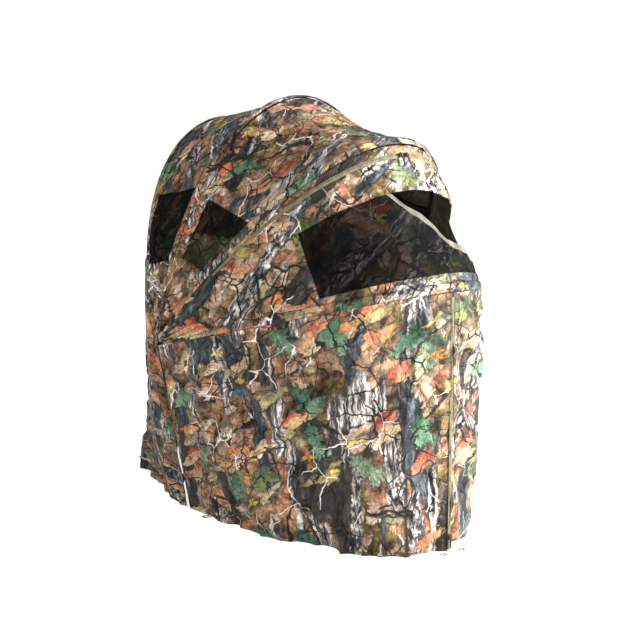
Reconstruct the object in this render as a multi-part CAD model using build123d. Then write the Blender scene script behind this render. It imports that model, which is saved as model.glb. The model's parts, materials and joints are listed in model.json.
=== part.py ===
from build123d import *
import os
from math import atan2, cos, degrees, hypot, pi, radians, sin

# A one-person chair blind: a folding chair carries four arched hoops that turn on
# one pivot line at seat height, with camouflage cloth stretched between the hoops
# and down to the ground. Millimetres, +Z up, front along -Y, origin on the ground
# under the middle of the footprint.

# ---- driving dimensions -------------------------------------------------------
pivot_height = 541.0          # hoop pivot line above the ground
cloth_half_width = 462.0      # widest half-width of the cloth, at the pivot line
cloth_thickness = 2.0         # cloth with its seams and coating
cloth_gap = 0.5               # room between a hoop rod and the cloth over it

waist_reach = 857.0           # pivot line to the crown of the cloth, per hoop
brow_reach = 868.0
top_reach = 775.0
rear_reach = 743.0
waist_angle = 15.8            # angle of each hoop plane above straight ahead
brow_angle = 47.3
top_angle = 80.2
rear_angle = 110.7

foot_inset = 102.0            # the hem lies this far inside the widest half-width
foot_rear = 680.0             # pivot line to the rear middle of the hem
foot_front_power = 2.4        # superellipse powers: above 2 is squarer
foot_rear_power = 1.75

rod_radius = 5.0              # hoop rod
eyelet_radius = 11.0
eyelet_thickness = 2 * rod_radius
rod_start = 8.8               # the rod starts this far out, inside its eyelet
hoop_pitch = 14.0             # spacing of the hoop feet along the hub pin
hub_inset = 15.0              # from the cloth's half-width to the outermost hoop foot
pin_radius = 4.0
running_clearance = 0.05      # radial, pin in eyelet or tube
spacer_gap = 0.3              # axial play beside each spacer
pin_head_radius = 7.5
pin_head_thickness = 2.5

sleeve_half_angle = 0.9       # sewn hoop sleeve, either side of the hoop plane
panel_edge_angle = 1.0        # where a panel starts, past the sleeve's edge
cloth_end_angle = 8.0         # where the cloth stops short of the pivot line

tube_radius = 9.5             # chair tube
tube_wall = 1.2
chair_half_width = 270.0      # outer side tubes of the chair
seat_height = 430.0
seat_front_y = -230.0         # measured from the pivot line
seat_rear_y = 160.0
front_foot_y = -230.0
rear_foot_y = 230.0
back_top_y = 230.0
back_top_height = 860.0
frame_side_gap = 3.0          # between the two side tubes at the scissor pin
scissor_pin_radius = 3.0
arm_radius = 8.0
sling_thickness = 2.0
cap_wall = 2.5
cap_height = 28.0

zip_width = 15.0              # the tape that shows between the two cloth edges
zip_thickness = 1.2
slider_clearance = 0.3
slider_length = 16.0
slider_width = 11.0
slider_thickness = 4.0
pull_length = 32.0
pull_width = 6.0
pull_thickness = 2.0
pull_post_radius = 1.0

loop_length = 28.0
loop_width = 24.0
loop_thickness = 1.6
loop_slot = 14.0

# ---- worked out from them -------------------------------------------------------
foot_front = waist_reach * cos(radians(waist_angle - panel_edge_angle))
pivot_y = (foot_front + loop_length - foot_rear) / 2    # centres the outline, loops included
PIVOT = Vector(0, pivot_y, pivot_height)
HOOPS = {
    "rear": (rear_reach, rear_angle, 0),
    "top": (top_reach, top_angle, 1),
    "brow": (brow_reach, brow_angle, 2),
    "waist": (waist_reach, waist_angle, 3),
}
foot_half_width = cloth_half_width - foot_inset
eyelet_last_x = cloth_half_width - hub_inset
first_hoop_x = eyelet_last_x - 3 * hoop_pitch    # the innermost hoop foot
leg_half_width = chair_half_width - 2 * tube_radius - frame_side_gap

os.makedirs("parts", exist_ok=True)


def save(name, shape):
    export_step(shape, f"parts/{name}.step")


def fan_plane(angle):
    """A plane through the pivot line: local x runs along it, local y is the reach."""
    a = radians(angle)
    return Plane(origin=PIVOT, x_dir=(1, 0, 0), z_dir=(0, -sin(a), -cos(a)))


def between(hoop_a, hoop_b, share):
    """Reach and plane angle of the straight cloth at a share of the way from a to b."""
    reach_a, angle_a, _ = HOOPS[hoop_a]
    reach_b, angle_b, _ = HOOPS[hoop_b]
    forward = (1 - share) * reach_a * cos(radians(angle_a)) + share * reach_b * cos(radians(angle_b))
    upward = (1 - share) * reach_a * sin(radians(angle_a)) + share * reach_b * sin(radians(angle_b))
    return hypot(forward, upward), degrees(atan2(upward, forward))


def arch_face(plane, half_width, reach, start, end, depth):
    """A thin elliptical band in one fan plane; angles run from the left foot over the top."""
    sweep_angle = end - start
    outer = EllipticalCenterArc((0, 0), half_width, reach, 180 - end, arc_size=sweep_angle)
    inner = EllipticalCenterArc((0, 0), half_width - depth, reach - depth, 180 - end, arc_size=sweep_angle)
    sides = [Line(outer @ 1, inner @ 1), Line(inner @ 0, outer @ 0)]
    return plane * make_face([outer, sides[0], inner, sides[1]])


def band(start_section, end_section, start, end, depth, outward=0.0):
    """A ruled shell between two elliptical arches, each given as (reach, plane angle)."""
    faces = []
    for reach, angle in (start_section, end_section):
        wide = cloth_half_width + outward
        faces.append(arch_face(fan_plane(angle), wide, reach + outward, start, end, depth))
    return loft(faces, ruled=True)


def share_at(hoop_a, hoop_b, angle_in):
    """The share of the straight way from hoop a at which the plane has turned by an angle."""
    reach_a, angle_a, _ = HOOPS[hoop_a]
    reach_b, angle_b, _ = HOOPS[hoop_b]
    near = reach_a * sin(radians(angle_in))
    far = reach_b * sin(radians(abs(angle_a - angle_b) - angle_in))
    return near / (near + far)


def panel(hoop_a, hoop_b):
    """The cloth stretched between two hoops, from sleeve to sleeve."""
    first = share_at(hoop_a, hoop_b, panel_edge_angle)
    last = 1 - share_at(hoop_b, hoop_a, panel_edge_angle)
    sections = [between(hoop_a, hoop_b, share) for share in (first, last)]
    return band(*sections, cloth_end_angle, 180 - cloth_end_angle, cloth_thickness)


def patch(hoop_a, hoop_b, shares, angles, depth, outward):
    """A piece of the same cloth surface, made thicker or thinner and moved outwards."""
    sections = [between(hoop_a, hoop_b, share) for share in shares]
    return band(*sections, *angles, depth, outward)


# ---- windows: share across the panel and angle round the hoop -----------------
window_cut_depth = 60.0
mesh_thickness = 0.8
mesh_gap = 0.4                # degrees and, scaled, share left round each mesh sheet
FRONT_WINDOW = ((0.34, 0.91), (50.0, 130.0))
SIDE_WINDOW = ((0.22, 0.93), (23.0, 38.0))
REAR_WINDOW = ((0.08, 0.92), (21.0, 41.0))


def mirrored(angles):
    return (180 - angles[1], 180 - angles[0])


def window(hoop_a, hoop_b, opening):
    """The tool that cuts a window, and the mesh sheet that fills it."""
    shares, angles = opening
    cutter = patch(hoop_a, hoop_b, shares, angles, window_cut_depth, window_cut_depth / 2)
    share_gap = mesh_gap / abs(HOOPS[hoop_a][1] - HOOPS[hoop_b][1])
    inner_shares = (shares[0] + share_gap, shares[1] - share_gap)
    inner_angles = (angles[0] + mesh_gap, angles[1] - mesh_gap)
    inset = -(cloth_thickness - mesh_thickness) / 2
    sheet = patch(hoop_a, hoop_b, inner_shares, inner_angles, mesh_thickness, inset)
    return cutter, sheet


def canopy():
    front_cut, front_mesh = window("brow", "waist", FRONT_WINDOW)
    save("front_panel", panel("brow", "waist") - front_cut)
    save("front_mesh", front_mesh)
    roof = panel("top", "brow")
    rear = panel("rear", "top")
    for side in ("left", "right"):
        side_window = SIDE_WINDOW if side == "left" else (SIDE_WINDOW[0], mirrored(SIDE_WINDOW[1]))
        rear_window = REAR_WINDOW if side == "left" else (REAR_WINDOW[0], mirrored(REAR_WINDOW[1]))
        cut, sheet = window("top", "brow", side_window)
        roof = roof - cut
        save(f"side_mesh_{side}", sheet)
        cut, sheet = window("rear", "top", rear_window)
        rear = rear - cut
        save(f"rear_mesh_{side}", sheet)
    save("roof_panel", roof)
    save("rear_canopy", rear)


# ---- cloth that comes down to the ground ----------------------------------------
zip_half_gap = 0.4            # degrees left free each side of the centre for the zip
wall_end_gap = 0.4            # degrees left free at the pivot line
outline_points = 13           # points that the footprint's spline goes through


def foot_point(angle, half_width, depth, power, forward):
    """A point of the footprint: angle 0 is the left side, 90 the front or rear middle."""
    a = radians(angle)
    x = -half_width * (1 if cos(a) >= 0 else -1) * abs(cos(a)) ** (2 / power)
    y = depth * abs(sin(a)) ** (2 / power)
    return (x, pivot_y - y if forward else pivot_y + y, 0)


def foot_face(start, end, forward):
    """A thin band of the footprint's outline on the ground."""
    depth = foot_front if forward else foot_rear
    power = foot_front_power if forward else foot_rear_power
    steps = [start + (end - start) * i / (outline_points - 1) for i in range(outline_points)]
    outer = Spline([foot_point(a, foot_half_width, depth, power, forward) for a in steps])
    thin = cloth_thickness
    inner = Spline([foot_point(a, foot_half_width - thin, depth - thin, power, forward) for a in steps])
    sides = [Line(outer @ 1, inner @ 1), Line(inner @ 0, outer @ 0)]
    return make_face([outer, sides[0], inner, sides[1]])


def drop_wall(hoop, start, end, forward):
    """Cloth from the edge of a hoop's sleeve straight down to the footprint."""
    reach, angle, _ = HOOPS[hoop]
    turn = -panel_edge_angle if forward else panel_edge_angle
    top_face = arch_face(fan_plane(angle + turn), cloth_half_width, reach, start, end, cloth_thickness)
    return loft([top_face, foot_face(start, end, forward)], ruled=True)


def skirts():
    middle = 90.0
    last = 180 - wall_end_gap
    save("skirt_left", drop_wall("waist", wall_end_gap, middle - zip_half_gap, True))
    save("skirt_right", drop_wall("waist", middle + zip_half_gap, last, True))
    save("rear_wall", drop_wall("rear", wall_end_gap, last, False))


def stake_loop(angle, forward):
    """A webbing loop sewn to the hem, lying flat on the ground."""
    depth = foot_front if forward else foot_rear
    power = foot_front_power if forward else foot_rear_power
    step = 0.5
    here = Vector(*foot_point(angle, foot_half_width, depth, power, forward))
    before = Vector(*foot_point(angle - step, foot_half_width, depth, power, forward))
    after = Vector(*foot_point(angle + step, foot_half_width, depth, power, forward))
    along = (after - before).normalized()
    out = Vector(along.Y, -along.X, 0) if forward else Vector(-along.Y, along.X, 0)
    start = here + out * slider_clearance
    plane = Plane(origin=start, x_dir=out, z_dir=(0, 0, 1))
    strap = Box(loop_length, loop_width, loop_thickness, align=(Align.MIN, Align.CENTER, Align.MIN))
    slot = Pos(loop_length / 2, 0, 0) * Box(loop_slot, loop_slot, 3 * loop_thickness)
    return plane * (strap - slot)


LOOP_ANGLES = {
    "front": (86.5, True),    # angle round the footprint from the left, and whether it is the front half
    "side": (6.0, True),
    "rear": (62.0, False),
}


def stake_loops():
    for place, (angle, forward) in LOOP_ANGLES.items():
        save(f"stake_loop_{place}_left", stake_loop(angle, forward))
        save(f"stake_loop_{place}_right", stake_loop(180 - angle, forward))


# ---- hoops ------------------------------------------------------------------------
def hoop(name):
    """A bent rod with an eyelet at each foot."""
    reach, angle, order = HOOPS[name]
    half_width = first_hoop_x + order * hoop_pitch
    crown = reach - cloth_thickness - cloth_gap - rod_radius
    foot_angle = degrees(rod_start / crown)
    arc = EllipticalCenterArc((0, 0), half_width, crown, foot_angle, arc_size=180 - 2 * foot_angle)
    plane = fan_plane(angle)
    path = plane * arc
    rod = sweep(Plane(origin=path @ 0, z_dir=path % 0) * Circle(rod_radius), path=path)
    for side in (-1, 1):
        at = Vector(side * half_width, pivot_y, pivot_height)
        ring = Plane(origin=at, z_dir=(1, 0, 0)) * Cylinder(eyelet_radius, eyelet_thickness)
        bore_radius = pin_radius + running_clearance
        bore = Plane(origin=at, z_dir=(1, 0, 0)) * Cylinder(bore_radius, 4 * eyelet_thickness)
        rod = (rod + ring) - bore
    return rod


def hoops():
    for name, (reach, angle, _) in HOOPS.items():
        save(f"{name}_hoop", hoop(name))
        sections = [(reach, angle - sleeve_half_angle), (reach, angle + sleeve_half_angle)]
        save(f"{name}_sleeve", band(*sections, cloth_end_angle, 180 - cloth_end_angle, cloth_thickness))


# ---- hubs: arm, pin and spacers on each side ------------------------------------
arm_bend = 40.0
arm_shoulder = 55.0           # straight stretch out of the chair's back tube
arm_forward = 90.0            # straight stretch behind the hub
arm_end_thickness = 2 * arm_radius + 2     # a little over the arm, so that the two blend cleanly
spacer_step = 1.0             # the spacer's radius is this much under the eyelet's


def rod_along(points, radius, bends):
    path = FilletPolyline(points, radius=bends) if len(points) > 2 else Line(*points)
    return sweep(Plane(origin=path @ 0, z_dir=path % 0) * Circle(radius), path=path)


def back_tube_y(height):
    share = (height - seat_height) / (back_top_height - seat_height)
    return pivot_y + seat_rear_y + (back_top_y - seat_rear_y) * share


def hubs():
    arm_x = first_hoop_x - eyelet_thickness / 2 - spacer_gap - arm_end_thickness / 2
    root_y = back_tube_y(pivot_height)
    for side, sign in (("left", -1), ("right", 1)):
        points = [
            (sign * chair_half_width, root_y, pivot_height),
            (sign * (chair_half_width + arm_shoulder), root_y, pivot_height),
            (sign * arm_x, pivot_y + arm_forward, pivot_height),
            (sign * arm_x, pivot_y + eyelet_radius / 2, pivot_height),
        ]
        arm = rod_along(points, arm_radius, arm_bend)
        arm = arm - back_tube_solid(sign)
        at = Vector(sign * arm_x, pivot_y, pivot_height)
        boss_plane = Plane(origin=at, z_dir=(1, 0, 0))
        boss = boss_plane * Cylinder(eyelet_radius, arm_end_thickness)
        bore = boss_plane * Cylinder(pin_radius, 4 * arm_end_thickness)
        save(f"hub_arm_{side}", (arm + boss) - bore)
        save(f"hub_pin_{side}", hub_pin(sign, arm_x))
        for order in range(3):
            x = sign * (first_hoop_x + (order + 0.5) * hoop_pitch)
            ring_length = hoop_pitch - eyelet_thickness - 2 * spacer_gap
            plane = Plane(origin=(x, pivot_y, pivot_height), z_dir=(1, 0, 0))
            ring = Cylinder(eyelet_radius - spacer_step, ring_length) - Cylinder(pin_radius, 2 * ring_length)
            save(f"hub_spacer_{side}_{order + 1}", plane * ring)


def hub_pin(sign, arm_x):
    inner_x = arm_x - arm_end_thickness / 2 - pin_head_thickness
    outer_x = eyelet_last_x + eyelet_thickness / 2 + spacer_gap
    length = outer_x - inner_x
    middle = Vector(sign * (inner_x + outer_x) / 2, pivot_y, pivot_height)
    shaft = Plane(origin=middle, z_dir=(1, 0, 0)) * Cylinder(pin_radius, length)
    ends = (inner_x + pin_head_thickness / 2, outer_x + pin_head_thickness / 2)
    for x in ends:
        at = Plane(origin=(sign * x, pivot_y, pivot_height), z_dir=(1, 0, 0))
        shaft = shaft + at * Cylinder(pin_head_radius, pin_head_thickness)
    return shaft


# ---- chair ---------------------------------------------------------------------------
back_bend = 120.0
back_bar_height = back_top_height - 30.0
rear_bar_height = seat_height + 2 * tube_radius
front_bar_height = seat_height - 2.4 * tube_radius     # low enough to end on both side tubes
brace_height = 90.0
sling_side_gap = 10.0         # between a sling and the side tube
sling_end_gap = 6.0           # between the seat sling and the back sling's bar
bar_clearance = 0.2           # between a sling and its bar


def back_tube_points(sign):
    x = sign * chair_half_width
    return [
        (x, pivot_y + front_foot_y, cap_wall),
        (x, pivot_y + seat_rear_y, seat_height),
        (x, pivot_y + back_top_y, back_top_height),
    ]


def back_tube_solid(sign):
    return rod_along(back_tube_points(sign), tube_radius, back_bend)


def leg_tube_points(sign):
    x = sign * leg_half_width
    return [(x, pivot_y + rear_foot_y, cap_wall), (x, pivot_y + seat_front_y, seat_height)]


def scissor_point():
    """Where the two side tubes cross, seen from the side."""
    (_, y1, z1), (_, y2, z2), _ = back_tube_points(1)
    (_, y3, z3), (_, y4, z4) = leg_tube_points(1)
    slope_a = (y2 - y1) / (z2 - z1)
    slope_b = (y4 - y3) / (z4 - z3)
    z = (y3 - y1 + slope_a * z1 - slope_b * z3) / (slope_a - slope_b)
    return y1 + slope_a * (z - z1), z


def below_ground():
    """A block that trims whatever would reach below the ground."""
    depth = 2 * cap_height
    span = 3 * waist_reach
    return Pos(0, 0, -depth / 2) * Box(span, span, depth)


def foot_cap(at, toward):
    """A rubber boot over a tube end, with a flat sole on the ground."""
    direction = (Vector(*toward) - Vector(*at)).normalized()
    plane = Plane(origin=at, z_dir=direction)
    upright = (Align.CENTER, Align.CENTER, Align.MIN)
    boot = plane * Cylinder(tube_radius + cap_wall, cap_height, align=upright)
    sole = Pos(at[0], at[1], 0) * Cylinder(tube_radius + 2 * cap_wall, 3 * cap_wall, align=upright)
    return (boot + sole) - below_ground()


def chair():
    scissor_y, scissor_z = scissor_point()
    for side, sign in (("left", -1), ("right", 1)):
        back_points = back_tube_points(sign)
        leg_points = leg_tube_points(sign)
        back_solid = back_tube_solid(sign)
        leg_solid = rod_along(leg_points, tube_radius, back_bend)
        back_core = rod_along(back_points, tube_radius - tube_wall, back_bend)
        leg_core = rod_along(leg_points, tube_radius - tube_wall, back_bend)
        pin_plane = Plane(origin=(sign * chair_half_width, scissor_y, scissor_z), z_dir=(1, 0, 0))
        bore = pin_plane * Cylinder(scissor_pin_radius + running_clearance, 8 * tube_radius)
        save(f"back_tube_{side}", back_solid - back_core - bore - below_ground())
        save(f"leg_tube_{side}", leg_solid - leg_core - bore - below_ground())
        save(f"scissor_pin_{side}", scissor_pin(sign, scissor_y, scissor_z))
        front_cap = foot_cap(back_points[0], back_points[1]) - back_solid
        rear_cap = foot_cap(leg_points[0], leg_points[1]) - leg_solid
        save(f"foot_cap_front_{side}", front_cap)
        save(f"foot_cap_rear_{side}", rear_cap)
    cross_bars()
    slings()


def leg_tube_y(height):
    share = (height - cap_wall) / (seat_height - cap_wall)
    return pivot_y + rear_foot_y + (seat_front_y - rear_foot_y) * share


def cross_bars():
    back_pair = back_tube_solid(-1) + back_tube_solid(1)
    leg_pair = rod_along(leg_tube_points(-1), tube_radius, 0) + rod_along(leg_tube_points(1), tube_radius, 0)
    for name, z in (("back_top_bar", back_bar_height), ("seat_rear_bar", rear_bar_height)):
        save(name, cross_bar(chair_half_width, back_tube_y(z), z, back_pair))
    for name, z in (("seat_front_bar", front_bar_height), ("leg_brace_bar", brace_height)):
        save(name, cross_bar(leg_half_width, leg_tube_y(z), z, leg_pair))


def cross_bar(half_width, y, z, side_tubes):
    """A tube between two side tubes, its ends shaped to them."""
    line = Plane(origin=(0, y, z), z_dir=(1, 0, 0))
    bar = line * (Cylinder(tube_radius, 2 * half_width) - Cylinder(tube_radius - tube_wall, 2 * half_width))
    return bar - side_tubes


def scissor_pin(sign, y, z):
    outer = chair_half_width + tube_radius + spacer_gap
    inner = leg_half_width - tube_radius - spacer_gap
    middle = sign * (outer + inner) / 2
    pin = Plane(origin=(middle, y, z), z_dir=(1, 0, 0)) * Cylinder(scissor_pin_radius, outer - inner)
    for x in (outer + cap_wall / 2, inner - cap_wall / 2):
        head = Plane(origin=(sign * x, y, z), z_dir=(1, 0, 0))
        pin = pin + head * Cylinder(2 * scissor_pin_radius, cap_wall)
    return pin


def slings():
    """Seat and back cloth, each a flat sheet laid over its two bars."""
    width = 2 * (leg_half_width - tube_radius - sling_side_gap)
    rear_y = back_tube_y(rear_bar_height)
    front_y = leg_tube_y(front_bar_height)
    lift = tube_radius + bar_clearance + sling_thickness / 2
    seat_end_y = rear_y - tube_radius - sling_end_gap
    seat_start = Vector(0, front_y, front_bar_height + lift)
    seat_run = Vector(0, seat_end_y - front_y, rear_bar_height - front_bar_height)
    save("seat_sling", sling(seat_start, seat_run, width))
    back_run = Vector(0, back_tube_y(back_bar_height) - rear_y, back_bar_height - rear_bar_height)
    back_start = Vector(0, rear_y - lift, rear_bar_height) + back_run.normalized() * tube_radius
    save("back_sling", sling(back_start, back_run - back_run.normalized() * 2 * tube_radius, width))


def sling(start, run, width):
    """A flat sheet that leaves the start in one direction and is as long as the run."""
    tilt = degrees(atan2(run.Z, run.Y))
    middle = start + run * 0.5
    return Pos(*middle) * Rot(tilt, 0, 0) * Box(width, run.length, sling_thickness)


# ---- zips -------------------------------------------------------------------------------
brow_zip_share = 0.105
brow_zip_start = 24.0
front_slider_height = 46.0    # closed: the slider is down at the hem
slider_apart = 2.4            # degrees from the middle to each brow slider, round the crown arc
tape_top_gap = 12.0           # the front tape stops short of the waist seam
tape_bottom = 14.0            # and of the ground
slider_rounding = 2.5
bridge_gap = 1.2              # between the slider's body and the pull
bridge_offset = 2.0           # the bridge sits this far below the slider's middle
bridge_over = 3.0             # its bar runs past the pull on each side
cheek_thickness = 1.5         # each end of the bridge
cheek_width = 4.0
cheek_sink = 0.5              # how far a cheek reaches into the body and over the bar
cheek_gap = 0.85              # between the pull and a cheek
eye_wall = 1.0                # of the pull, round the bar


def zips():
    front_y = pivot_y - foot_front
    waist_z = pivot_height + waist_reach * sin(radians(waist_angle - panel_edge_angle))
    tape_top = waist_z - tape_top_gap
    tape_y = front_y - slider_clearance
    tape = Pos(0, tape_y - zip_thickness / 2, (tape_top + tape_bottom) / 2)
    save("front_zip", tape * Box(zip_width, zip_thickness, tape_top - tape_bottom))
    slider_y = tape_y - zip_thickness - slider_clearance
    face = Plane(origin=(0, slider_y, front_slider_height), x_dir=(1, 0, 0), z_dir=(0, -1, 0))
    save("front_slider", slider_solid(face, slider_width, slider_length))
    save("front_pull", pull_solid(face))
    brow_zip()


def brow_zip():
    """The curved zip just below the brow hoop, with two sliders that meet at the middle."""
    reach, angle = between("brow", "waist", brow_zip_share)
    share_width = zip_width / 2 / panel_width("brow", "waist")
    shares = (brow_zip_share - share_width, brow_zip_share + share_width)
    angles = (brow_zip_start, 180 - brow_zip_start)
    lift = zip_thickness + slider_clearance
    save("brow_zip", patch("brow", "waist", shares, angles, zip_thickness, lift))
    normal = panel_normal("brow", "waist")
    for side, sign in (("left", -1), ("right", 1)):
        plane = brow_slider_plane(sign, normal, lift)
        save(f"brow_slider_{side}", slider_solid(plane, slider_length, slider_width))
        save(f"brow_pull_{side}", pull_solid(plane))


def panel_width(hoop_a, hoop_b):
    """Width of a panel along its middle line."""
    reach_a, angle_a, _ = HOOPS[hoop_a]
    reach_b, angle_b, _ = HOOPS[hoop_b]
    turn = radians(angle_a - angle_b)
    return (reach_a ** 2 + reach_b ** 2 - 2 * reach_a * reach_b * cos(turn)) ** 0.5


def panel_normal(hoop_a, hoop_b):
    """Outward direction of a panel along its middle line."""
    reach_a, angle_a, _ = HOOPS[hoop_a]
    reach_b, angle_b, _ = HOOPS[hoop_b]
    a = Vector(0, -reach_a * cos(radians(angle_a)), reach_a * sin(radians(angle_a)))
    b = Vector(0, -reach_b * cos(radians(angle_b)), reach_b * sin(radians(angle_b)))
    run = (b - a).normalized()
    return Vector(0, run.Z, -run.Y)


def crown_radius():
    """Radius of the brow zip's bend at its crown: the ellipse's own."""
    reach, _ = between("brow", "waist", brow_zip_share)
    return cloth_half_width ** 2 / reach


def brow_slider_plane(sign, normal, lift):
    """Where a brow slider sits: turned about the crown arc's centre from the middle."""
    reach, angle = between("brow", "waist", brow_zip_share)
    turn = radians(slider_apart)
    radius = crown_radius()
    plane = fan_plane(angle)
    height = reach - radius + radius * cos(turn)
    middle = plane.from_local_coords((sign * radius * sin(turn), height, 0))
    face = middle + normal * (lift + slider_clearance)
    return Plane(origin=face, x_dir=(1, 0, 0), z_dir=normal)


def bridge_height():
    """Height of the slider's bridge bar over the tape."""
    return slider_thickness + pull_thickness / 2 + bridge_gap


def bridge_place():
    return Pos(0, -bridge_offset, bridge_height()) * Rot(0, 90, 0)


def slider_solid(plane, across, along):
    """A zip slider: a small block with a bridge that the pull hangs from."""
    block = Box(across, along, slider_thickness, align=(Align.CENTER, Align.CENTER, Align.MIN))
    block = fillet(block.edges().filter_by(Axis.Z), slider_rounding)
    shape = block + bridge_place() * Cylinder(pull_post_radius, pull_width + 2 * bridge_over)
    cheek_height = bridge_height() + pull_post_radius - slider_thickness + cheek_sink
    cheek_x = pull_width / 2 + cheek_gap + cheek_thickness / 2
    for sign in (-1, 1):
        upright = (Align.CENTER, Align.CENTER, Align.MIN)
        cheek = Box(cheek_thickness, cheek_width, cheek_height, align=upright)
        shape = shape + Pos(sign * cheek_x, -bridge_offset, slider_thickness - cheek_sink) * cheek
    return plane * shape


def pull_solid(plane):
    """A moulded pull tab that hangs from the slider's bridge."""
    tab_place = Pos(0, -bridge_offset - pull_length / 2, bridge_height())
    tab = tab_place * Box(pull_width, pull_length, pull_thickness)
    eye = bridge_place() * Cylinder(pull_post_radius + eye_wall, pull_width)
    hole = bridge_place() * Cylinder(pull_post_radius + running_clearance, 2 * pull_width)
    return plane * (tab + eye - hole)


canopy()
skirts()
stake_loops()
hoops()
hubs()
chair()
zips()
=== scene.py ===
# %% [markdown]
# # A pop up chair blind
#
# The real object is a hood of printed cloth over four bent hoops. The hoops turn on one
# line at seat height, on hubs that stand out from a folding chair. The frame, hubs,
# sliders and feet come from the CAD model, and this script adds the cloth and all finishes.

import json
import math

import bpy
import numpy as np
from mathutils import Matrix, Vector, noise


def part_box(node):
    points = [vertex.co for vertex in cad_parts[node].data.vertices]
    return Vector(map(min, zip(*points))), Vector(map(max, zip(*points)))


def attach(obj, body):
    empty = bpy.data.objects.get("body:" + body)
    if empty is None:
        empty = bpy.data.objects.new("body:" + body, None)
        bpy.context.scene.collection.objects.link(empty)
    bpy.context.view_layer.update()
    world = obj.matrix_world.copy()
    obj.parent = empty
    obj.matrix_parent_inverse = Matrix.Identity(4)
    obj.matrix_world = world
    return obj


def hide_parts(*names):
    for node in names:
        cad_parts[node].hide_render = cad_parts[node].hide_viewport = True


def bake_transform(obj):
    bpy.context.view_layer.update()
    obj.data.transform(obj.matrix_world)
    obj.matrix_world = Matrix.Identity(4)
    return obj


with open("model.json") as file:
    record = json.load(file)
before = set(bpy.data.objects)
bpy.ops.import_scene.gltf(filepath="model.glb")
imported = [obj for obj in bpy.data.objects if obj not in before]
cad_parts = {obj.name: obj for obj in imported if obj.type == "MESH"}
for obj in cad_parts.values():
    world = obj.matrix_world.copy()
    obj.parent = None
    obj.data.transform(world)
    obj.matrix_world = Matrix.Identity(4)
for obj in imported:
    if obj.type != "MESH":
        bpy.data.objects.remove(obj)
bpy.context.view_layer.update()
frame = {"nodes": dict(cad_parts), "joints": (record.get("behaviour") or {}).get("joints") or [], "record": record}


# %% [markdown]
# ## The shape the cloth follows
#
# Every hoop is half an ellipse in a plane through the pivot line, so a point of cloth is
# found from two numbers: `turn`, the angle round the hoop from the left foot (0) over the
# crown (90) to the right foot (180), and `share`, how far it lies from one hoop to the
# next. The same two numbers place windows, zips and bindings, so they always meet.

# %% Hoops and footprint
pivot = next(j for j in frame["joints"] if j["name"] == "rear_bow_fold")["pos_m"]
PIVOT_Y, PIVOT_Z = pivot[1], pivot[2]
HALF_WIDTH = 0.462
HOOPS = {
    "rear": (0.743, 110.7),
    "top": (0.775, 80.2),
    "brow": (0.868, 47.3),
    "waist": (0.857, 15.8),
}
FOOT_HALF_WIDTH = 0.360
FOOT_FRONT = 0.8286
FOOT_REAR = 0.680
FRONT_SQUARENESS = 2.45       # 2 would be an ellipse, more is squarer
FRONT_NARROWING = 0.55        # how much rounder the hem is at the zip
REAR_SQUARENESS = 1.75
SEAM_ANGLE = 1.0              # degrees between a hoop's plane and the panel's edge
CLOTH = 0.0008                # cloth and its coating, in metres


def hoop_point(hoop, turn, tilt=0.0):
    """Points on a hoop; turn is an array in degrees."""
    reach, angle = HOOPS[hoop]
    a = math.radians(angle + tilt)
    t = np.radians(turn)
    out = reach * np.sin(t)
    x = -HALF_WIDTH * np.cos(t)
    return np.stack([x, PIVOT_Y - out * math.cos(a), PIVOT_Z + out * math.sin(a)], -1)


def foot_point(turn, front):
    """Points of the hem on the ground, squarer at the sides than at the middle."""
    t = np.radians(turn)
    if front:
        power = FRONT_SQUARENESS - FRONT_NARROWING * np.sin(t) ** 4
        depth = -FOOT_FRONT
    else:
        power = REAR_SQUARENESS
        depth = FOOT_REAR
    x = -FOOT_HALF_WIDTH * np.sign(np.cos(t)) * np.abs(np.cos(t)) ** (2 / power)
    y = PIVOT_Y + depth * np.abs(np.sin(t)) ** (2 / power)
    return np.stack([x, y, 0 * x], -1)


PANELS = {
    "rear_canopy": ("rear", "top"),
    "roof": ("top", "brow"),
    "front": ("brow", "waist"),
}


def between(first, last, share):
    """Straight cloth between two rows of points."""
    share = np.asarray(share)[..., None]
    return first + (last - first) * share


def panel_point(panel, turn, share):
    a, b = PANELS[panel]
    return between(hoop_point(a, turn), hoop_point(b, turn), share)


def skirt_point(turn, share):
    return between(hoop_point("waist", turn, -SEAM_ANGLE), foot_point(turn, True), share)


def rear_wall_point(turn, share):
    return between(hoop_point("rear", turn, SEAM_ANGLE), foot_point(turn, False), share)


# %% [markdown]
# ## A cloth sheet
#
# A sheet starts as a flat grid. Its points are then moved to where the cloth lies, and the
# grid's own rows become an UV map in metres, so that the print and the weave keep their
# real size on the curved cloth. Windows are cut by deleting the faces inside them. The
# wall's thickness comes last, from Solidify, which also gives the inner side its own
# material: the coated back of the cloth, lightened and faintly printed as painted backlight.

# %% Sheet helpers
def spaced(stops, step):
    """Grid lines that meet every stop exactly, about one step apart."""
    lines = [stops[0]]
    for low, high in zip(stops, stops[1:]):
        count = max(1, round(abs(high - low) / step))
        lines += [low + (high - low) * (i + 1) / count for i in range(count)]
    return np.array(lines)


def deselect():
    if bpy.context.mode != "OBJECT":
        bpy.ops.object.mode_set(mode="OBJECT")
    bpy.ops.object.select_all(action="DESELECT")


def make_active(piece):
    deselect()
    bpy.context.view_layer.objects.active = piece
    piece.select_set(True)


def apply_all(piece):
    make_active(piece)
    for modifier in list(piece.modifiers):
        bpy.ops.object.modifier_apply(modifier=modifier.name)


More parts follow.
